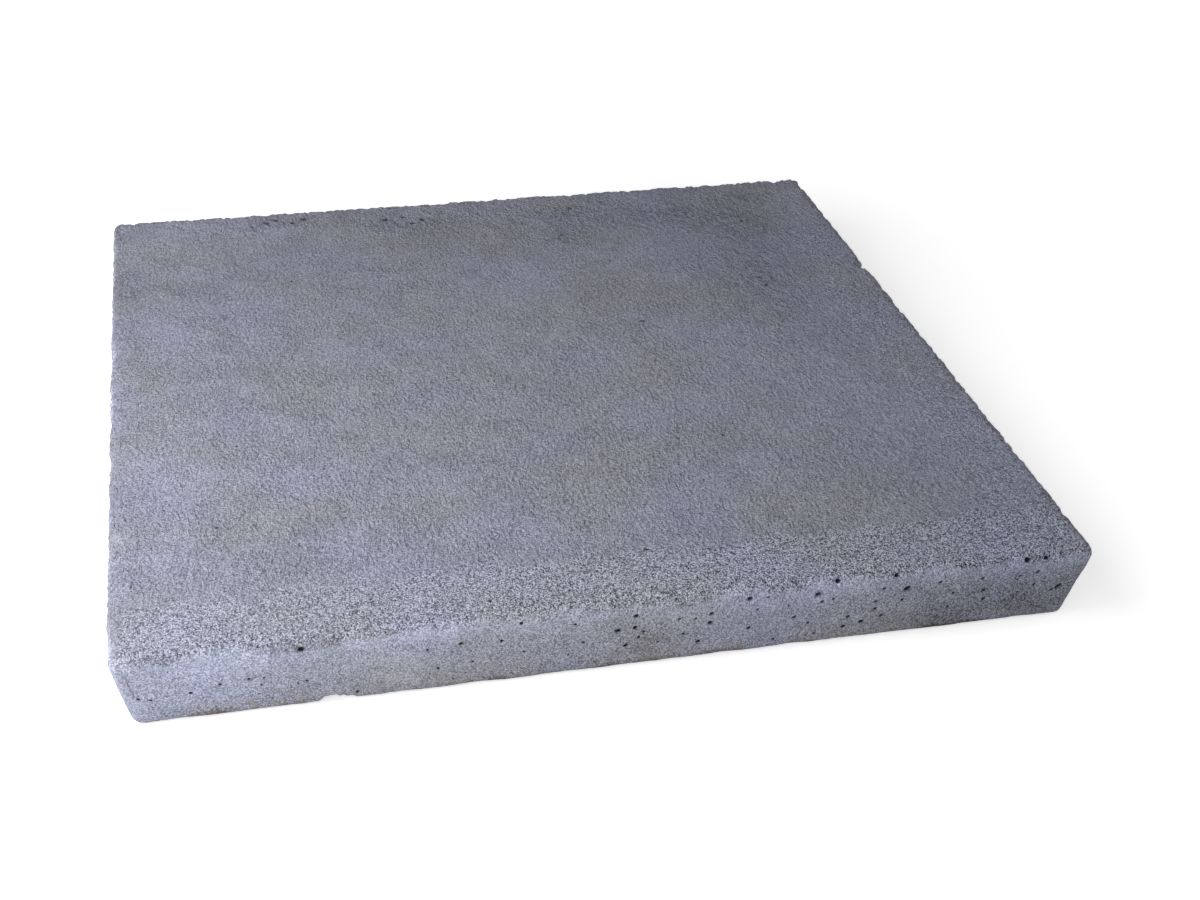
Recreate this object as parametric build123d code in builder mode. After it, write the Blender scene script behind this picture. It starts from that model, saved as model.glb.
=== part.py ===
"""Concrete equipment pad: one cast square slab with drafted sides and rounded edges.

Millimetres, +Z up. The origin is the centre of the underside.
The top is the face that carries the equipment.
"""

import os
from math import radians, tan

from build123d import *

# Driving dimensions
SIDE = 812.8  # overall width of the square slab, across its widest level, just below the top
THICKNESS = 76.2  # underside to top
DRAFT_ANGLE = 11.0  # lean of each side, in degrees: the mould opens upwards, so the top is wider
CORNER_RADIUS = 11.0  # the four corners, the same all the way up
TOP_EDGE_RADIUS = 10.0  # worked edge round the top
BOTTOM_EDGE_RADIUS = 8.0  # inside edge of the mould floor

# Sizes that follow from them
top_run = TOP_EDGE_RADIUS * tan(radians(45 + DRAFT_ANGLE / 2))  # sharp top edge to the start of its rounding
lean = THICKNESS * tan(radians(DRAFT_ANGLE))  # how far each side stands out over the full height
sharp_top_side = SIDE + 2 * (top_run - TOP_EDGE_RADIUS)
bottom_side = sharp_top_side - 2 * lean

# The slab, cast in one piece
with BuildPart() as concrete_pad:
    with BuildSketch(Plane.XY):
        Rectangle(bottom_side, bottom_side)
    extrude(amount=THICKNESS, taper=-DRAFT_ANGLE)
    corners = concrete_pad.edges().group_by(Axis.Z)[1]
    fillet(corners, radius=CORNER_RADIUS)
    fillet(concrete_pad.faces().sort_by(Axis.Z)[-1].edges(), radius=TOP_EDGE_RADIUS)
    fillet(concrete_pad.faces().sort_by(Axis.Z)[0].edges(), radius=BOTTOM_EDGE_RADIUS)

concrete_pad.part.label = "concrete_pad"

os.makedirs("parts", exist_ok=True)
export_step(concrete_pad.part, "parts/concrete_pad.step")
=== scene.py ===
"""The looks of a cast concrete equipment pad: sandy floated top, worn edges, smooth sides with air holes.

Metres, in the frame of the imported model: the origin is the centre of the underside, and the front looks
along -Y. A place on the skin is also given unrolled. `run` goes round the pad from the left end of the
front side. `roll` goes out from the rim of the flat top: it is negative on the top, and grows down the
shoulder, the wall and the foot, and on across the underside.
"""

import math

import bmesh
import bpy
import numpy as np
from mathutils import Euler, Matrix, Vector, noise
from mathutils.geometry import delaunay_2d_cdt

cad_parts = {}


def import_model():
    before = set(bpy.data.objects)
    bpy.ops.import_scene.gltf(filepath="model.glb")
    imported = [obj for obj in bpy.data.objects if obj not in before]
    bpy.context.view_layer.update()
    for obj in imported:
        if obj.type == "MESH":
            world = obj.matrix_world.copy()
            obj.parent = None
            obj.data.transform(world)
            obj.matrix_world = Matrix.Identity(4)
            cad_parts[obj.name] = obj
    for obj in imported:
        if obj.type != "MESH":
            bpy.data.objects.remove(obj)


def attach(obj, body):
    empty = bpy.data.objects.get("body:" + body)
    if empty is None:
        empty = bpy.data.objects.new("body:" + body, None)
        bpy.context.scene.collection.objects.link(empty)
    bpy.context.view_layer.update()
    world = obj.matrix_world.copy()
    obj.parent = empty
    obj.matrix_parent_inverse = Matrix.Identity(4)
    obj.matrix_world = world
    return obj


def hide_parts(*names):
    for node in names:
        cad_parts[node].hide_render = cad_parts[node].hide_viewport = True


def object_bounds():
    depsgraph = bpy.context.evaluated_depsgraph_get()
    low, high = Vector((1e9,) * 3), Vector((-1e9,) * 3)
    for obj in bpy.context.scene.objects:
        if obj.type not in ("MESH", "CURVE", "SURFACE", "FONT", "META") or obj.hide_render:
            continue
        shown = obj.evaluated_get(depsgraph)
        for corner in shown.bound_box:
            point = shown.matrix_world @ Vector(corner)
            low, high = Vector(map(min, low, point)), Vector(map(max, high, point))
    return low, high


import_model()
cad_low, cad_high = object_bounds()

MM = 0.001
rng = np.random.default_rng(32)

# The slab's form, as the solid has it
DRAFT = math.radians(11)
CORNER_RADIUS = 11 * MM
SHOULDER_RADIUS = 10 * MM
FOOT_RADIUS = 8 * MM

half_side = (cad_high.x - cad_low.x) / 2
thickness = cad_high.z - cad_low.z
rim_half = half_side - SHOULDER_RADIUS

# Lengths along the skin
shoulder_length = SHOULDER_RADIUS * (math.pi / 2 + DRAFT)
wall_drop = thickness - SHOULDER_RADIUS * (1 + math.sin(DRAFT)) - FOOT_RADIUS * (1 - math.sin(DRAFT))
wall_length = wall_drop / math.cos(DRAFT)
foot_length = FOOT_RADIUS * (math.pi / 2 - DRAFT)
skirt_length = shoulder_length + wall_length + foot_length
side_length = 2 * (half_side - CORNER_RADIUS)
corner_length = math.pi / 2 * CORNER_RADIUS
quarter_length = side_length + corner_length

# Where the finish changes along the roll
MARGIN_ROLL = -52 * MM  # the floated middle of the top gives way to a coarser margin
SKIN_ROLL = 11 * MM  # the sandy margin gives way to the smooth skin that the mould left

# How coarse the sand is on the margin and on the wall of each side: front, right, back, left
MARGIN_COARSE = (1.0, 0.40, 0.30, 0.15)
WALL_COARSE = (0.85, 0.8, 0.8, 0.7)
COARSE_LEFT = 0.55  # the sand of the left part over that of the right
COARSE_GROWTH = -0.3, 0.2  # the x from which it grows, and the x where it is at its coarsest

# The mesh
SPACING = 2.7 * MM  # on the skirt, and on the top near its rim
RIM_BELT = 12 * MM  # how far in from the rim the top is meshed as finely as the skirt
TOP_SPACING = 5.0 * MM  # on the top inside that belt
UNDERSIDE_SPACING = 14 * MM
JITTER = 0.22  # how far a point strays at random, over the spacing
WELD_REACH = 0.02 * MM
UNDERSIDE_SINK = 0.5 * MM  # how far in the underside's relief lies, so that only its crests touch the ground

# Hollows, over the radius: rings of points and how many each has, then other sizes
HOLLOW_RINGS = ((0.55, 6), (0.85, 9), (1.0, 11), (1.45, 11))
HOLLOW_CLEARING = 1.9  # the rest of the mesh keeps out to here
HOLLOW_DEPTH = 1.4
HOLLOW_GAP = 2.6  # least distance between two, over the sum of their radii
HOLE_GROWTH = 1.35  # mouth of an air hole over the dark middle that the list gives

# Random air holes: how many, their radii and rolls in mm, and the share of each side from the front
WALL_HOLES = 240
WALL_HOLE_RADII = (1.1, 1.2, 1.3, 1.4, 1.6, 1.9, 2.4)
WALL_HOLE_ROLLS = (15, 74)
WALL_HOLE_SHARES = (0.19, 0.27, 0.27, 0.27)
TOP_HOLES = 110
TOP_HOLE_RADII = (0.9, 1.0, 1.1, 1.3, 1.6)
TOP_HOLE_REACH = 0.985  # how near the rim they come
TOP_MIDDLE_HOLES = 0.4  # how many of those that fall on the floated middle are kept

# Air holes on the front, in mm: x, roll, radius
FRONT_HOLES = (
    (-347, 51, 1.3), (-302, 43, 1.2), (-261, 16, 2.2), (-258, 53, 1.1), (-154, 57, 1.2), (-126, 54, 1.1),
    (-88, 15, 1.2), (-44, 24, 1.1), (-36, 47, 1.2), (-8, 38, 2.1), (6, 22, 1.8), (6, 36, 1.7), (14, 42, 1.2),
    (10, 48, 1.3), (0, 57, 1.8), (43, 32, 1.3), (70, 30, 1.8), (70, 41, 1.9), (62, 63, 1.8), (48, 51, 1.2),
    (104, 53, 1.5), (109, 31, 1.1), (143, 47, 1.8), (160, 22, 2.2), (165, 31, 1.4), (156, 56, 1.3),
    (176, 10, 1.8), (191, 54, 1.7), (189, 66, 1.9), (204, 62, 2.0), (213, 39, 1.5), (214, 48, 1.6),
    (227, 11, 1.5), (239, 28, 2.7), (237, 41, 1.4), (268, 25, 1.5), (282, 39, 1.4), (280, 55, 1.2),
    (306, 26, 1.6), (310, 41, 1.8), (312, 52, 1.5), (344, 11, 2.2), (356, 26, 1.5), (356, 41, 1.3),
    (361, 11, 1.6), (374, 50, 1.3), (380, 47, 2.7),
)

# Pits in the top, most of them near the back edge, in mm: x, y, radius
TOP_PITS = (
    (-236, 376, 4.2), (-225, 383, 3.2), (-207, 373, 3.4), (-194, 381, 3.8), (-102, 364, 4.0),
    (-82, 369, 3.4), (-73, 349, 3.4), (-61, 358, 4.2), (89, 289, 2.8), (128, 67, 3.0),
    (302, 292, 3.0), (277, 145, 2.8), (279, 125, 2.6), (113, 361, 3.0),
)

# Stains on the top, and at its back patches of painted light, in mm: x, y, half width, half depth, then how
# warm and how light the patch is
TOP_STAINS_AND_LIGHT = (
    (-49, 292, 70, 55, 0.7, 0.0), (-22, -54, 100, 85, 0.5, -0.02), (-9, -216, 100, 40, 0.6, 0.0),
    (-177, -121, 50, 50, 0.6, 0.0), (-251, -236, 45, 45, 0.4, -0.02), (-298, 123, 24, 24, 0.4, -0.02),
    (-372, 14, 24, 60, 0.5, -0.06), (-356, -165, 40, 60, -0.8, 0.09), (85, 210, 70, 40, -0.3, 0.05),
    (234, -13, 48, 52, -0.6, 0.05), (287, -148, 70, 110, -0.6, 0.05), (207, -165, 24, 24, -0.3, 0.04),
    (321, -351, 40, 24, -0.5, -0.05), (-207, 347, 42, 22, -0.6, 0.05), (376, 353, 25, 25, -0.2, 0.05),
    (308, 306, 34, 50, 0.1, -0.03), (113, 353, 32, 16, 0.5, -0.06), (368, -13, 12, 150, 0.0, -0.06),
    # painted light: the last three patches of the table lighten the back of the top, which the lamps reach
    # less
    (330, 0, 120, 300, -0.5, 0.0), (-330, 350, 150, 60, 0.0, 0.24),
    (380, 340, 60, 60, 0.0, 0.16), (120, 365, 130, 40, 0.0, 0.10),
)

# Rough patches of the top, where the float tore it, in mm: x, y, half width, half depth, how rough
TOP_ROUGH = (
    (277, 143, 45, 110, 0.7), (297, 297, 75, 60, 0.7), (170, 345, 170, 40, 0.8), (97, 290, 30, 30, 0.6),
    (-297, 110, 26, 26, 0.5), (-310, 330, 70, 50, 0.4), (300, 0, 110, 330, 0.3), (-243, -257, 50, 40, 0.4),
    (-80, 350, 60, 25, 0.8), (-230, 375, 60, 18, 0.7), (60, -20, 130, 60, 0.2), (250, -250, 90, 60, 0.3),
)

# Stains on the front, then two broad patches that darken its right end, in mm: x, roll, half width, half
# height, warmth and lightness
FRONT_STAINS_AND_PATCHES = (
    (18, 62, 14, 12, 1.0, -0.14), (30, 51, 16, 10, 0.3, -0.14), (255, 57, 10, 20, 0.7, -0.20),
    (268, 67, 22, 14, 0.2, -0.18), (340, 48, 13, 18, 0.4, -0.22), (342, 72, 24, 8, 1.0, -0.04),
    (260, 42, 14, 8, -0.6, 0.08), (-302, 76, 16, 5, 2.0, -0.10), (-282, 75, 3, 2, 5.0, -0.15),
    (-320, 33, 50, 14, -0.4, 0.05), (-118, 66, 60, 10, 0.6, -0.03), (-342, 48, 40, 30, -0.3, 0.10),
    (-170, 48, 60, 30, -0.2, 0.14), (4, 48, 60, 30, 0.3, -0.06), (118, 53, 36, 25, 0.0, 0.05),
    # the last two darken the right end of the front
    (292, 53, 50, 30, -0.1, -0.34), (367, 53, 50, 30, -0.3, -0.34),
)

# Random stains on each of the other sides: how many, and the spans that they are drawn from, in mm
SIDE_STAINS = 14
SIDE_STAIN_ROLLS = (18, 74)
SIDE_STAIN_SIZES = ((10, 36), (8, 18))
SIDE_STAIN_WARMTH = (-0.6, 1.0)
SIDE_STAIN_LIGHTNESS = (-0.12, 0.08)

# Bites, in mm: side from 0 at the front, place along it, roll, half length, half height, depth
BITES = (
    (0, -236, 83, 17, 11, 6.5),
    (1, 162, 9, 15, 20, 7.5),
    (1, 60, 9, 10, 6, 1.6),
    (1, 382, 9, 12, 9, 3.5),
    (2, -376, 8, 12, 9, 3.5),
    (2, -300, 8, 9, 7, 2.4),
    (2, -120, 8, 8, 7, 2.2),
    (2, 40, 8, 13, 8, 2.6),
    (2, 205, 8, 9, 8, 2.8),
    (2, 330, 9, 16, 8, 2.2),
    (3, 110, 9, 16, 8, 1.8),
    (3, -90, 9, 9, 6, 1.8),
)
BITE_RAGGEDNESS = 0.35
BITE_WALL = 0.7  # the share of a bite, from its edge in, over which it gets deeper

# Noise that shapes the mesh: size of its features, octaves of detail, seed
SWELL = 200 * MM, 3, 1
FLOAT_MARKS = 16 * MM, 3, 2
GRIT = 7.5 * MM, 2, 3
WAVER = 34 * MM, 3, 4
BITE_EDGE = 7 * MM, 3, 5
RAGGED = 13 * MM, 3, 6
PATCH_EDGE_X = 40 * MM, 3, 7
PATCH_EDGE_Y = 40 * MM, 3, 8
MARGIN_EDGE = 26 * MM, 3, 9
CRUMBLE = 5 * MM, 2, 11
FLOAT_STRETCH = (1.0, 2.4, 1.0)
CHIP_LIMIT = 0.1  # crumbling takes away and hardly adds
PATCH_WOBBLE = 0.7
MARGIN_WANDER = 14 * MM
MARGIN_EASE = -14 * MM, 6 * MM  # where the margin's sand starts and is at its coarsest, from its border
WORN_FROM = -0.3  # the y from which the top edge is crumbled as far as at the back


def ease(value, low, high):
    """0 below low, 1 above high and smooth between them."""
    share = np.clip((value - low) / (high - low), 0, 1)
    return share * share * (3 - 2 * share)


def levels(roll):
    """Half width, corner radius and height of the skin's outline at a roll, and the normal's tilt."""
    turn = np.clip(roll, 0, shoulder_length) / SHOULDER_RADIUS
    wall = np.clip(roll - shoulder_length, 0, wall_length)
    curl = np.clip(roll - shoulder_length - wall_length, 0, foot_length) / FOOT_RADIUS
    tuck = FOOT_RADIUS * (math.cos(DRAFT) - np.cos(DRAFT + curl))
    half = rim_half + SHOULDER_RADIUS * np.sin(turn) - wall * math.sin(DRAFT) - tuck
    corner = CORNER_RADIUS - SHOULDER_RADIUS * (1 - np.sin(np.minimum(turn, math.pi / 2))) - tuck
    height = thickness - SHOULDER_RADIUS * (1 - np.cos(turn)) - wall * math.cos(DRAFT)
    height -= FOOT_RADIUS * (np.sin(DRAFT + curl) - math.sin(DRAFT))
    return half, corner, height, math.pi / 2 - turn - curl


def skin(run, roll):
    """Places and normals from the rim of the top down to the underside, for arrays of run and roll."""
    half, corner, height, tilt = levels(roll)
    side, along = np.divmod(run, quarter_length)
    quarter = side * math.pi / 2
    facing = quarter + np.maximum(along - side_length, 0) / corner_length * math.pi / 2
    outward = np.column_stack([np.sin(facing), -np.cos(facing)])
    reach = half - corner
    x = (np.minimum(along, side_length) / side_length * 2 - 1) * reach
    core_x = x * np.cos(quarter) + reach * np.sin(quarter)
    core_y = x * np.sin(quarter) - reach * np.cos(quarter)
    place = np.column_stack([np.column_stack([core_x, core_y]) + outward * corner[:, None], height])
    normal = np.column_stack([outward * np.cos(tilt)[:, None], np.sin(tilt)])
    return place, normal


def side_run(side, along, roll):
    """The run of a place on a side, by its distance from that side's middle and its roll."""
    half, corner, _, _ = levels(roll)
    return side * quarter_length + side_length / 2 * (1 + along / (half - corner))


def by_side(run, amounts):
    """An amount for each side, easing from one to the next round the corners."""
    side, along = np.divmod(run, quarter_length)
    side = side.astype(int) % 4
    share = np.maximum(along - side_length, 0) / corner_length
    amounts = np.array(amounts)
    return amounts[side] * (1 - share) + amounts[(side + 1) % 4] * share


def rim_distance(points, roll):
    """Distance in plan from the skin's outline at a roll: negative inside it."""
    half, corner, _, _ = levels(roll)
    beyond = np.abs(points) - (half - corner)
    outside = np.hypot(*np.maximum(beyond, 0).T)
    return outside + np.minimum(beyond.max(axis=1), 0) - corner


def cloud(place, size, octaves, seed, stretch=(1, 1, 1)):
    """Fractal noise about 0 at each place, with features about a size across."""
    shift = Vector((17.3, -9.1, 4.7)) * seed
    scaled = place / (np.array(stretch) * size)
    return np.array([noise.fractal(Vector(p) + shift, 1.0, 2.0, octaves) for p in scaled])


def lattice(low, high, spacing):
    """Points of a triangular lattice over a box, each moved a little at random."""
    rows = np.arange(low[1], high[1], spacing * math.sqrt(3) / 2)
    x, y = np.meshgrid(np.arange(low[0], high[0], spacing), rows)
    x[1::2] += spacing / 2
    points = np.column_stack([x.ravel(), y.ravel()])
    return points + rng.uniform(-JITTER, JITTER, points.shape) * spacing


def scatter_hollows(count, draw, radii, taken):
    """Random hollows that keep clear of each other, added to those taken already."""
    found = list(taken)
    while len(found) < len(taken) + count:
        x, y = draw()
        radius = rng.choice(radii) * MM * rng.uniform(0.85, 1.15)
        if all(math.hypot(x - a, y - b) > HOLLOW_GAP * (radius + r) for a, b, r in found):
            found.append((x, y, radius))
    return found


def ring_hollows(points, hollows):
    """The points with rings in place of those round each hollow, so that small hollows come out round."""
    keep = np.ones(len(points), bool)
    added = []
    for x, y, radius in hollows:
        keep &= np.hypot(points[:, 0] - x, points[:, 1] - y) > HOLLOW_CLEARING * radius
        added.append((x, y))
        for share, count in HOLLOW_RINGS:
            angles = rng.uniform(0, math.tau) + np.arange(count) * math.tau / count
            added += [(x + share * radius * math.cos(a), y + share * radius * math.sin(a)) for a in angles]
    return np.vstack([points[keep], np.array(added).reshape(-1, 2)])


def hollow_depths(points, hollows):
    """How deep each point lies in a bubble cut by the surface: as a share of its radius, and in metres."""
    share = np.zeros(len(points))
    depth = np.zeros(len(points))
    for x, y, radius in hollows:
        away = np.hypot(points[:, 0] - x, points[:, 1] - y) / radius
        bowl = np.sqrt(np.clip(1 - away * away, 0, 1))
        share = np.maximum(share, bowl)
        depth = np.maximum(depth, bowl * radius * HOLLOW_DEPTH)
    return share, depth


def patch_amounts(points, patches):
    """What soft patches with wavering edges add up to at each point, for each amount they carry."""
    place = np.column_stack([points, np.zeros(len(points))])
    wobble = np.column_stack([cloud(place, *PATCH_EDGE_X), cloud(place, *PATCH_EDGE_Y)])
    total = np.zeros((len(patches[0]) - 4, len(points)))
    for x, y, half_width, half_height, *amounts in patches:
        half = np.array([half_width, half_height]) * MM
        offset = (points - np.array([x, y])) / half + wobble * PATCH_WOBBLE
        share = np.exp(-(offset * offset).sum(axis=1))
        total += np.array(amounts)[:, None] * share
    return total


def coarse_to_the_right(x):
    """How the coarseness of the sand grows from the left to the right of the pad."""
    return COARSE_LEFT + (1 - COARSE_LEFT) * ease(x, *COARSE_GROWTH)


def top_coarseness(points):
    """How coarse the sand of the top is: more so near each edge, by the side."""
    x, y = points.T
    place = np.column_stack([points, np.zeros(len(points))])
    border = rim_half + MARGIN_ROLL
    wander = cloud(place, *MARGIN_EDGE) * MARGIN_WANDER - border
    coarse = np.zeros(len(points))
    for reach, level in zip((-y, x, y, -x), MARGIN_COARSE):
        coarse = np.maximum(coarse, level * ease(reach + wander, *MARGIN_EASE))
    return coarse * coarse_to_the_right(x)


def skirt_coarseness(points, x):
    """How coarse the sand of the shoulder and the wall is, by the side."""
    run, roll = points.T
    on_wall = ease(roll, SKIN_ROLL - 3 * MM, SKIN_ROLL + 3 * MM)
    coarse = by_side(run, MARGIN_COARSE) * (1 - on_wall) + by_side(run, WALL_COARSE) * on_wall
    return coarse * coarse_to_the_right(x)


def triangulate(rim, inner):
    """Points and triangles that fill a rim and use the inner points."""
    points = [Vector(p) for p in np.vstack([rim, inner])]
    made = delaunay_2d_cdt(points, [], [list(range(len(rim)))], 1, 1e-9, False)
    return np.array([p[:] for p in made[0]]), np.array(made[2])


def side_stains():
    """The front's stains and darker patches, and random stains on the other sides, in run and roll."""
    stains = [(side_run(0, x * MM, roll * MM), roll * MM, *rest) for x, roll, *rest in FRONT_STAINS_AND_PATCHES]
    for side in (1, 2, 3):
        for _ in range(SIDE_STAINS):
            along = rng.uniform(-0.5, 0.5) * side_length
            roll = rng.uniform(*SIDE_STAIN_ROLLS) * MM
            spans = *SIDE_STAIN_SIZES, SIDE_STAIN_WARMTH, SIDE_STAIN_LIGHTNESS
            stains.append((side_run(side, along, roll), roll, *(rng.uniform(*span) for span in spans)))
    return stains


def skirt_region(run_marks):
    """The shoulder, the wall and the foot all round, meshed unrolled."""
    roll_marks = np.linspace(0, skirt_length, round(skirt_length / SPACING) + 1)
    around = run_marks[-1]
    upper = np.column_stack([run_marks, np.zeros_like(run_marks)])
    right = np.column_stack([np.full_like(roll_marks, around), roll_marks])[1:]
    lower = np.column_stack([run_marks, np.full_like(run_marks, skirt_length)])[::-1][1:]
    left = np.column_stack([np.zeros_like(roll_marks), roll_marks])[::-1][1:-1]
    hollows = [
        (side_run(0, x * MM, roll * MM), roll * MM, radius * HOLE_GROWTH * MM)
        for x, roll, radius in FRONT_HOLES
    ]

    def draw():
        side = rng.choice(4, p=WALL_HOLE_SHARES)
        along = rng.beta(1.6, 1.0) if side == 0 else rng.uniform()
        roll = rng.uniform(*WALL_HOLE_ROLLS) * MM
        return side_run(side, (along - 0.5) * side_length, roll), roll

    hollows = scatter_hollows(WALL_HOLES, draw, WALL_HOLE_RADII, hollows)
    half = SPACING / 2
    inner = lattice((half, half), (around - half, skirt_length - half), SPACING)
    inner = inner[(inner[:, 0] > half) & (inner[:, 0] < around - half)]
    inner = inner[(inner[:, 1] > half) & (inner[:, 1] < skirt_length - half)]
    points, triangles = triangulate(np.vstack([upper, right, lower, left]), ring_hollows(inner, hollows))
    place, normal = skin(*points.T)
    coarse = skirt_coarseness(points, place[:, 0])
    rough = np.zeros(len(points))
    stains = patch_amounts(points, side_stains())
    return place, normal, points[:, 1], coarse, rough, *hollow_depths(points, hollows), *stains, triangles


def top_region(run_marks):
    """The flat top inside the rim."""
    rim = skin(run_marks[:-1], np.zeros(len(run_marks) - 1))[0][:, :2]
    hollows = [(x * MM, y * MM, radius * MM) for x, y, radius in TOP_PITS]

    def draw():
        x, y = rng.uniform(-TOP_HOLE_REACH, TOP_HOLE_REACH, 2) * rim_half
        on_margin = max(abs(x), abs(y)) > rim_half + MARGIN_ROLL
        return (x, y) if on_margin or rng.uniform() < TOP_MIDDLE_HOLES else draw()

    hollows = scatter_hollows(TOP_HOLES, draw, TOP_HOLE_RADII, hollows)
    belt = lattice((-rim_half, -rim_half), (rim_half, rim_half), SPACING)
    belt = belt[np.abs(rim_distance(belt, 0.0) + RIM_BELT / 2) < (RIM_BELT - SPACING) / 2]
    middle = lattice((-rim_half, -rim_half), (rim_half, rim_half), TOP_SPACING)
    middle = middle[rim_distance(middle, 0.0) < -RIM_BELT - TOP_SPACING / 4]
    points, triangles = triangulate(rim, ring_hollows(np.vstack([belt, middle]), hollows))
    torn = patch_amounts(points, [(x * MM, y * MM, *rest) for x, y, *rest in TOP_ROUGH])[0]
    # stains, and painted light at the back of the top
    stains = patch_amounts(points, [(x * MM, y * MM, *rest) for x, y, *rest in TOP_STAINS_AND_LIGHT])
    place = np.column_stack([points, np.full(len(points), thickness)])
    normal = np.tile((0.0, 0.0, 1.0), (len(points), 1))
    roll = np.minimum(rim_distance(points, 0.0), 0)
    coarse = top_coarseness(points)
    rough = torn * (1 - 0.7 * coarse)
    return place, normal, roll, coarse, rough, *hollow_depths(points, hollows), *stains, triangles


def underside_region(run_marks):
    """The flat underside inside the foot."""
    rim = skin(run_marks[:-1], np.full(len(run_marks) - 1, skirt_length))[0][:, :2]
    inner = lattice((-rim_half, -rim_half), (rim_half, rim_half), UNDERSIDE_SPACING)
    inner = inner[rim_distance(inner, skirt_length) < -UNDERSIDE_SPACING / 2]
    points, triangles = triangulate(rim, inner)
    place = np.column_stack([points, np.zeros(len(points))])
    normal = np.tile((0.0, 0.0, -1.0), (len(points), 1))
    roll = skirt_length - rim_distance(points, skirt_length)
    plain = np.zeros(len(points))
    return place, normal, roll, plain, plain, plain, plain, plain, plain, triangles


def bite_depths(place):
    """How deep the bites out of the edges reach at each place."""
    depth = np.zeros(len(place))
    crumble = BITE_RAGGEDNESS * cloud(place, *BITE_EDGE)
    for side, along, roll, half_length, half_height, reach in BITES:
        run = side_run(side, along * MM, roll * MM)
        centre = skin(np.array([run]), np.array([roll * MM]))[0][0]
        offset = place - centre
        angle = side * math.pi / 2
        length = offset @ np.array([math.cos(angle), math.sin(angle), 0.0])
        height = np.sqrt(np.maximum((offset * offset).sum(axis=1) - length * length, 0))
        fill = 1 - np.hypot(length / (half_length * MM), height / (half_height * MM)) + crumble
        depth = np.maximum(depth, ease(fill, 0.0, BITE_WALL) * reach * MM)
    return depth


def relief(place, roll, coarse):
    """How far the cast skin stands out of the solid's faces, in metres."""
    on_top = 1 - ease(roll, SKIN_ROLL - 4 * MM, SKIN_ROLL + 4 * MM)
    edge = ease(roll, -8 * MM, 4 * MM) * (1 - ease(roll, 20 * MM, 34 * MM))
    behind = ease(place[:, 1], -rim_half, WORN_FROM)
    ragged = np.minimum(cloud(place, *RAGGED), CHIP_LIMIT)
    crumble = np.minimum(cloud(place, *CRUMBLE), CHIP_LIMIT)

    # Heights in mm
    height = 0.4 * cloud(place, *SWELL)
    height += cloud(place, *FLOAT_MARKS, FLOAT_STRETCH) * on_top * 0.14
    height += cloud(place, *GRIT) * (0.07 + 0.08 * coarse)
    height += cloud(place, *WAVER) * (0.2 + 0.3 * edge + 0.5 * (1 - on_top))
    height += ragged * edge * (0.4 + 1.5 * behind)
    height += crumble * edge * (0.8 + 3.2 * behind)
    return height * MM - bite_depths(place)


def weld(mesh):
    """Join the regions where they meet, and turn all faces outwards."""
    body = bmesh.new()
    body.from_mesh(mesh)
    bmesh.ops.remove_doubles(body, verts=body.verts, dist=WELD_REACH)
    bmesh.ops.recalc_face_normals(body, faces=body.faces)
    body.to_mesh(mesh)
    body.free()


# What each region gives after its places and normals
ATTRIBUTES = ("roll", "coarse", "rough", "hollow", "depth", "warmth", "lightness")


def slab_mesh():
    """The whole skin as one closed mesh, with what the material needs to know in its attributes."""
    run_marks = np.linspace(0, 4 * quarter_length, round(4 * quarter_length / SPACING) + 1)
    regions = [top_region(run_marks), skirt_region(run_marks), underside_region(run_marks)]
    *fields, _ = (np.concatenate(column) for column in zip(*regions))
    place, normal = fields[:2]
    values = dict(zip(ATTRIBUTES, fields[2:]))
    starts = np.cumsum([0] + [len(region[0]) for region in regions])
    triangles = np.vstack([region[-1] + start for region, start in zip(regions, starts)])
    stand = relief(place, values["roll"], values["coarse"])
    underside = values["roll"] >= skirt_length - 0.001 * MM
    stand[underside] = np.minimum(stand[underside] - UNDERSIDE_SINK, 0)
    place = place + normal * (stand - values.pop("depth"))[:, None]
    place[:, 2] = np.maximum(place[:, 2], 0)
    mesh = bpy.data.meshes.new("cast_slab")
    mesh.from_pydata(place.tolist(), [], triangles.tolist())
    for name, numbers in values.items():
        layer = mesh.attributes.new(name, "FLOAT", "POINT")
        layer.data.foreach_set("value", numbers.astype(np.float32))
    weld(mesh)
    mesh.shade_smooth()
    return mesh


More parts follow.
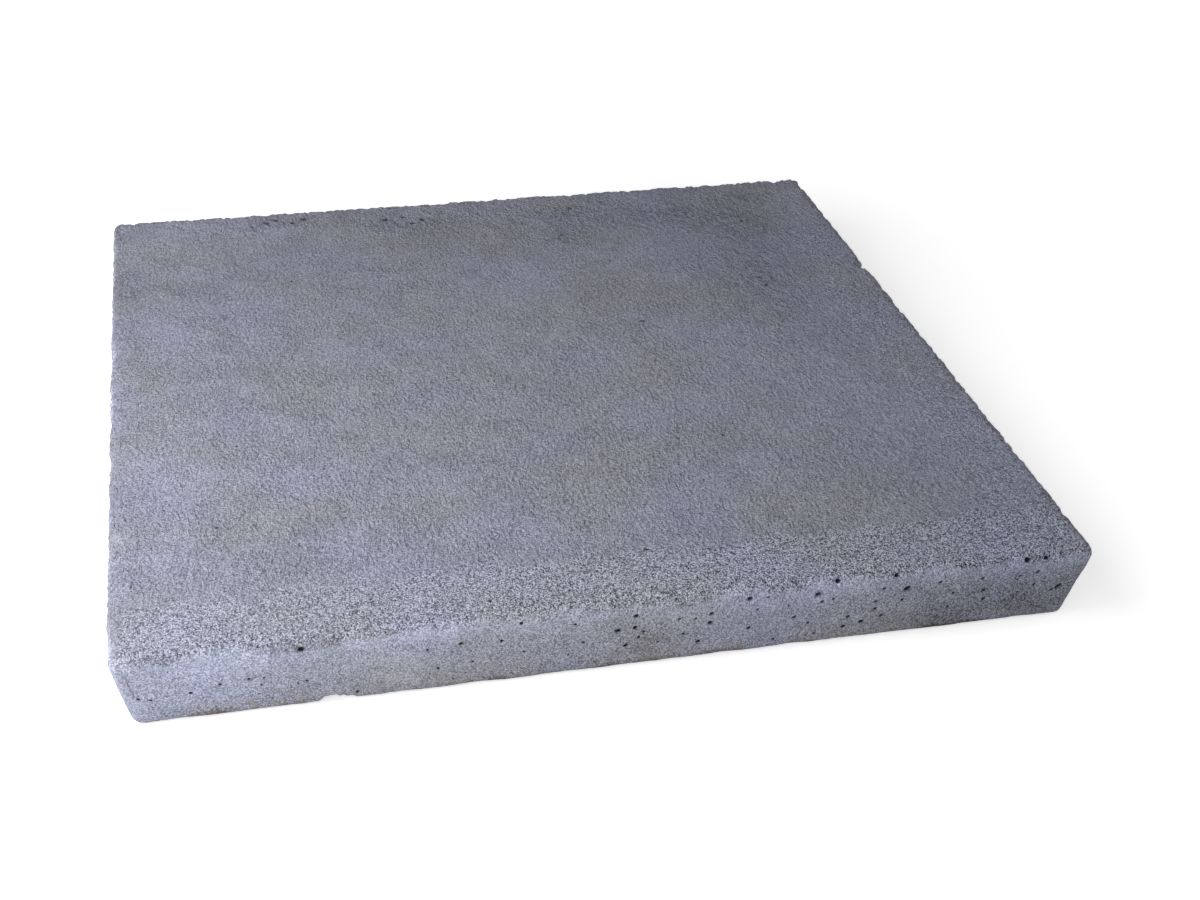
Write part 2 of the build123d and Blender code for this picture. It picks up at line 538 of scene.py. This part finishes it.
class Nodes:
    """Short ways to add the nodes of one node tree."""

    def __init__(self, tree):
        self.tree = tree

    def add(self, kind, inputs, **settings):
        node = self.tree.nodes.new(kind)
        for name, value in settings.items():
            setattr(node, name, value)
        for socket, value in inputs.items():
            if isinstance(value, bpy.types.NodeSocket):
                self.tree.links.new(value, node.inputs[socket])
            else:
                node.inputs[socket].default_value = value
        return node

    def attribute(self, name):
        return self.add("ShaderNodeAttribute", {}, attribute_name=name).outputs["Fac"]

    def math(self, operation, *values):
        return self.add("ShaderNodeMath", dict(enumerate(values)), operation=operation).outputs[0]

    def times(self, *values):
        product = values[0]
        for value in values[1:]:
            product = self.math("MULTIPLY", product, value)
        return product

    def plus(self, base, value, factor):
        return self.math("MULTIPLY_ADD", value, factor, base)

    def ramp(self, value, low, high, out_low=0.0, out_high=1.0):
        inputs = {"Value": value, "From Min": low, "From Max": high, "To Min": out_low, "To Max": out_high}
        return self.add("ShaderNodeMapRange", inputs, interpolation_type="SMOOTHSTEP").outputs[0]

    def moved(self, at, seed):
        """The place moved far off, so that each seed finds its own part of a texture."""
        shift = (0.37 * seed, -0.23 * seed, 0.51 * seed)
        return self.add("ShaderNodeVectorMath", {0: at, 1: shift}, operation="ADD").outputs[0]

    def noise(self, at, size, detail, roughness, seed):
        """Noise about 0, within about 0.5 of it."""
        inputs = {"Vector": self.moved(at, seed), "Scale": 1 / size}
        node = self.add("ShaderNodeTexNoise", {**inputs, "Detail": detail, "Roughness": roughness})
        return self.math("SUBTRACT", node.outputs["Fac"], 0.5)

    def cells(self, at, size, seed):
        """A random number from 0 to 1 for each cell, and the distance from its centre over its size."""
        node = self.add("ShaderNodeTexVoronoi", {"Vector": self.moved(at, seed), "Scale": 1 / size})
        pick = self.add("ShaderNodeSeparateColor", {"Color": node.outputs["Color"]}).outputs[0]
        return pick, node.outputs["Distance"]

    def dots(self, reach, distance):
        """1 within a reach of each cell's centre, with a soft edge."""
        return self.ramp(self.math("SUBTRACT", reach, distance), 0.0, 0.06)

    def blend(self, share, first, second):
        """A number or a colour between two."""
        colours = isinstance(first, tuple) or getattr(first, "type", "") == "RGBA"
        socket = 6 if colours else 2
        inputs = {0: share, socket: first, socket + 1: second}
        node = self.add("ShaderNodeMix", inputs, data_type="RGBA" if colours else "FLOAT")
        return node.outputs[2 if colours else 0]


# Colours, and the tones that they are multiplied by
OLIVE = (0.222, 0.225, 0.251, 1)
LAVENDER = (0.226, 0.240, 0.320, 1)
UMBER = (0.205, 0.187, 0.178, 1)
TOP_TONE = 1.08  # the sandy top
SKIN_AND_SIDE_LIGHT_TONE = 1.47  # the smooth skin, which is lighter: partly a paler finish, partly painted light that makes up for the lamps lighting the sides less than the top
SHOULDER_LIFT = 0.27  # how much lighter still that is just below the edge
PAINTED_FOOT_SHADE = 0.05  # painted shade: how much darker it is near the ground
DARKEST = 0.1

# Noise in the material: size of its features, detail, roughness, seed
WANDER = 50 * MM, 4, 0.65, 1
LUMPS = 2.8 * MM, 3, 0.6, 2
CLOUDS = 130 * MM, 3, 0.55, 4
MOTTLE = 24 * MM, 3, 0.6, 5
TINT = 110 * MM, 2, 0.5, 7
TEARS = 5.5 * MM, 4, 0.65, 8
LUMPINESS = 30 * MM, 4, 0.7, 9

# Cells in the material: size, seed
SAND = 1.1 * MM, 3
SPECKS = 4.8 * MM, 6

WANDER_REACH = 32 * MM  # how far the zones' edges wander, for noise of 1
SHOULDER_FADE = 16 * MM, 38 * MM  # the roll over which the light band below the edge fades
FOOT_RISE = 50 * MM, 80 * MM  # the roll over which the painted shade and the dirt near the ground begin
STROKE_TURN = math.radians(15)  # the float's strokes, from straight back
STROKE_SQUEEZE = 0.55  # how far their marks are drawn out: the lower, the longer
TEAR_HEIGHT = 4.0
DOME_RIM = 0.555  # the distance from a cell's middle, over its size, at which the sand is level
DOME_HEIGHT = 0.07
BUMP_DISTANCE = 6 * MM  # the height that 1 stands for


def zones(tree, at):
    """The roll with wandering edges, and how far a place is on the skin, its shoulder and its foot."""
    roll = tree.plus(tree.attribute("roll"), tree.noise(at, *WANDER), WANDER_REACH)
    on_skin = tree.ramp(roll, SKIN_ROLL - 4 * MM, SKIN_ROLL + 5 * MM)
    on_shoulder = tree.times(on_skin, tree.ramp(roll, *SHOULDER_FADE, 1.0, 0.0))
    return roll, on_skin, on_shoulder, tree.ramp(roll, *FOOT_RISE)


def float_lumps(tree, at, on_skin):
    """The lumps that the float drew out and tore, and how lumpy the surface is from place to place."""
    strokes = {"Vector": at, "Rotation": (0.0, 0.0, STROKE_TURN), "Scale": (1.0, STROKE_SQUEEZE, 1.0)}
    floated = tree.add("ShaderNodeMapping", strokes).outputs[0]
    lumpiness = tree.ramp(tree.noise(at, *LUMPINESS), -0.12, 0.12, 0.6, 1.4)
    amount = tree.blend(on_skin, tree.ramp(tree.attribute("coarse"), 0.0, 1.0, 0.95, 0.3), 0.6)
    tears = tree.times(tree.noise(floated, *TEARS), tree.attribute("rough"), TEAR_HEIGHT)
    return tree.plus(tears, tree.noise(floated, *LUMPS), tree.times(amount, lumpiness)), lumpiness


def sand(tree, at, on_skin, lumps):
    """Rounded sand over the lumps, each bit with its own tone: its tone, with some dust and painted shade in
    the gaps and painted shade in the lumps' low spots, and its height.
    """
    coarse = tree.attribute("coarse")
    shade, distance = tree.cells(at, *SAND)
    domes = tree.math("SUBTRACT", DOME_RIM, distance)
    shade_amount = tree.blend(on_skin, tree.ramp(coarse, 0.0, 1.0, 1.0, 2.2), 1.45)
    dome_amount = tree.blend(on_skin, tree.ramp(coarse, 0.0, 1.0, 0.6, 1.9), 0.9)
    grain_and_shade = tree.times(tree.math("SUBTRACT", shade, 0.5), shade_amount)
    # painted shade with some dust: darker in the gaps, lighter on the tops
    grain_and_shade = tree.plus(grain_and_shade, domes, dome_amount)
    # painted shade: darker in the low spots of the lumps and tears
    grain_and_shade = tree.plus(grain_and_shade, lumps, 0.5)
    return grain_and_shade, tree.plus(lumps, domes, tree.times(dome_amount, DOME_HEIGHT))


def specks(tree, at):
    """Pinholes painted as dark dots of shade, and fewer and smaller pale flecks."""
    pick, distance = tree.cells(at, *SPECKS)
    pinholes = tree.dots(tree.ramp(pick, 0.45, 1.0, 0.0, 0.2), distance)
    flecks = tree.dots(tree.ramp(pick, 0.25, 0.0, 0.0, 0.13), distance)
    return pinholes, flecks


def foot_dirt_and_shade_line(tree, roll, mottle):
    """The broken line of dirt and painted contact shade along the foot, which stays off the underside."""
    line = tree.ramp(tree.attribute("roll"), skirt_length - 6 * MM, skirt_length - 2 * MM, 1.0, 0.0)
    line = tree.times(line, tree.ramp(roll, 75 * MM, 81 * MM))
    return tree.times(line, tree.ramp(mottle, -0.06, 0.08))


def concrete_material():
    """Grey concrete: sandy on top, coarser near the edges, lighter where the mould left a skin and where
    painted light makes up for the sides; painted shade in the holes, the sand's gaps and near the ground.
    """
    material = bpy.data.materials.new("concrete")
    material.use_nodes = True
    shader = material.node_tree.nodes["Principled BSDF"]
    tree = Nodes(material.node_tree)
    at = tree.add("ShaderNodeTexCoord", {}).outputs["Object"]
    roll, on_skin, on_shoulder, on_foot = zones(tree, at)
    lumps, lumpiness = float_lumps(tree, at, on_skin)
    grain_and_shade, height = sand(tree, at, on_skin, lumps)
    pinholes, flecks = specks(tree, at)
    mottle = tree.noise(at, *MOTTLE)
    dirt_and_shade_line = foot_dirt_and_shade_line(tree, roll, mottle)

    # Tone
    # painted light: the skin's tone is raised partly to make up for the sides getting less light than the
    # top
    tone = tree.plus(tree.blend(on_skin, TOP_TONE, SKIN_AND_SIDE_LIGHT_TONE), tree.noise(at, *CLOUDS), 0.12)
    tone = tree.plus(tone, mottle, tree.blend(on_skin, 0.14, 0.4))
    tone = tree.plus(tone, tree.attribute("lightness"), 1.2)
    tone = tree.plus(tone, tree.attribute("rough"), 0.26)
    tone = tree.plus(tone, tree.math("SUBTRACT", lumpiness, 1.0), 0.06)
    # the sand's tone, with the painted shade in its gaps and low spots
    tone = tree.plus(tone, grain_and_shade, 1.0)
    # painted shade: pinholes too small for the mesh, painted as dark dots
    tone = tree.plus(tone, pinholes, tree.blend(on_skin, -0.8, -1.3))
    tone = tree.plus(tone, flecks, 0.4)
    tone = tree.plus(tone, on_shoulder, SHOULDER_LIFT)
    # painted shade: darker near the ground
    tone = tree.plus(tone, on_foot, -PAINTED_FOOT_SHADE)
    # dirt and painted contact shade: a dark broken line where the foot meets the ground
    tone = tree.plus(tone, dirt_and_shade_line, -0.6)
    # painted shade: darker down in the air holes and pits
    tone = tree.times(tone, tree.ramp(tree.attribute("hollow"), 0.05, 0.6, 1.0, 0.06))
    tone = tree.math("MAXIMUM", tone, DARKEST)

    # Hue
    tint = tree.plus(tree.noise(at, *TINT), tree.attribute("warmth"), -0.2)
    tint = tree.plus(tint, on_shoulder, 0.12)
    colour = tree.blend(tree.ramp(tint, -0.35, 0.35), OLIVE, LAVENDER)
    dirt = tree.times(on_foot, tree.ramp(mottle, -0.12, 0.2, 0.0, 0.6))
    colour = tree.blend(tree.math("MAXIMUM", dirt, dirt_and_shade_line), colour, UMBER)
    colour = tree.add("ShaderNodeVectorMath", {0: colour, "Scale": tone}, operation="SCALE").outputs[0]

    bump = tree.add("ShaderNodeBump", {"Height": height, "Distance": BUMP_DISTANCE}).outputs["Normal"]
    links = material.node_tree.links
    links.new(colour, shader.inputs["Base Color"])
    links.new(tree.ramp(grain_and_shade, -0.4, 0.4, 0.97, 0.84), shader.inputs["Roughness"])
    links.new(bump, shader.inputs["Normal"])
    shader.inputs["Specular IOR Level"].default_value = 0.3
    return material


def slab():
    """The cast slab, which stands for the plain solid."""
    piece = bpy.data.objects.new("cast_slab", slab_mesh())
    bpy.context.scene.collection.objects.link(piece)
    piece.data.materials.append(concrete_material())
    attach(piece, "root")
    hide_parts("concrete_pad")


# The stage
FLOOR_HALF = 6.0
FLOOR_GAP = 0.3 * MM
FLOOR_GREY = 0.8
FLOOR_GLOW = 0.6, 1.0  # near the pad, and far from it
GLOW_REACH = 0.55, 1.3  # where the floor leaves the one and reaches the other
FILL_LEVEL = 0.15

# Large soft lamps: name, place, watts
LAMP_SIZE = 1.0
LAMP_AIM = Vector((-0.05, -0.05, 0.0))
LAMPS = (
    ("overhead", Vector((-0.65, -0.25, 0.70)), 12.0),
    ("front", Vector((-0.90, -1.40, 0.60)), 11.0),
    ("right", Vector((1.60, -0.30, 0.50)), 4.5),
)


def seen_directly(tree):
    """1 for what the camera sees, by way of mirrors and glass too, and 0 for light on the object."""
    path = tree.add("ShaderNodeLightPath", {})
    seen = tree.math("MAXIMUM", path.outputs["Is Camera Ray"], path.outputs["Is Glossy Ray"])
    return tree.math("MAXIMUM", seen, path.outputs["Is Transmission Ray"])


def floor():
    """A plain pale floor that shows nearly white and keeps the shadow."""
    mesh = bpy.data.meshes.new("floor")
    corners = ((-1, -1), (1, -1), (1, 1), (-1, 1))
    level = cad_low.z - FLOOR_GAP
    mesh.from_pydata([(x * FLOOR_HALF, y * FLOOR_HALF, level) for x, y in corners], [], [(0, 1, 2, 3)])
    ground = bpy.data.objects.new("floor", mesh)
    bpy.context.scene.collection.objects.link(ground)
    material = bpy.data.materials.new("pale_floor")
    material.use_nodes = True
    material.node_tree.nodes.clear()
    tree = Nodes(material.node_tree)
    matte = tree.add("ShaderNodeBsdfDiffuse", {"Color": (FLOOR_GREY, FLOOR_GREY, FLOOR_GREY, 1)})
    at = tree.add("ShaderNodeTexCoord", {}).outputs["Object"]
    away = tree.add("ShaderNodeVectorMath", {0: at}, operation="LENGTH").outputs["Value"]
    strength = tree.times(seen_directly(tree), tree.ramp(away, *GLOW_REACH, *FLOOR_GLOW))
    glow = tree.add("ShaderNodeEmission", {"Strength": strength})
    both = tree.add("ShaderNodeAddShader", {0: matte.outputs[0], 1: glow.outputs[0]})
    tree.add("ShaderNodeOutputMaterial", {"Surface": both.outputs[0]})
    mesh.materials.append(material)


def world():
    """An even soft fill, seen as white."""
    sky = bpy.data.worlds.new("studio")
    bpy.context.scene.world = sky
    sky.use_nodes = True
    sky.node_tree.nodes.clear()
    tree = Nodes(sky.node_tree)
    level = tree.blend(seen_directly(tree), FILL_LEVEL, 1.0)
    background = tree.add("ShaderNodeBackground", {"Color": (1, 1, 1, 1), "Strength": level})
    tree.add("ShaderNodeOutputWorld", {"Surface": background.outputs[0]})


def lamp(name, place, watts):
    """One large soft lamp, aimed at the pad."""
    source = bpy.data.lights.new(name, "AREA")
    source.shape = "SQUARE"
    source.size = LAMP_SIZE
    source.energy = watts
    light = bpy.data.objects.new(name, source)
    light.location = place
    light.rotation_euler = (LAMP_AIM - place).to_track_quat("-Z", "Y").to_euler()
    light.visible_camera = False
    bpy.context.scene.collection.objects.link(light)


# The camera, as it stood for the photograph
CAMERA_PLACE = Vector((-0.2962, -1.5123, 0.9153))
CAMERA_AZIMUTH = math.radians(-13.614)
CAMERA_ELEVATION = math.radians(31.394)
CAMERA_ROLL = math.radians(1.645)
PHOTO_WIDTH = 1200
FOCAL_PIXELS = 1772.7
SENSOR_WIDTH = 36


def camera():
    """The camera at the photograph's viewing angle."""
    lens = bpy.data.cameras.new("camera")
    lens.sensor_width = SENSOR_WIDTH
    lens.lens = SENSOR_WIDTH * FOCAL_PIXELS / PHOTO_WIDTH
    eye = bpy.data.objects.new("camera", lens)
    aim = Euler((math.pi / 2 - CAMERA_ELEVATION, 0, CAMERA_AZIMUTH)).to_matrix()
    turned = aim @ Matrix.Rotation(CAMERA_ROLL, 3, "Z")
    eye.matrix_world = Matrix.Translation(CAMERA_PLACE) @ turned.to_4x4()
    bpy.context.scene.collection.objects.link(eye)
    bpy.context.scene.camera = eye


slab()
floor()
world()
for one_lamp in LAMPS:
    lamp(*one_lamp)
camera()
bpy.context.scene.view_settings.view_transform = "Standard"
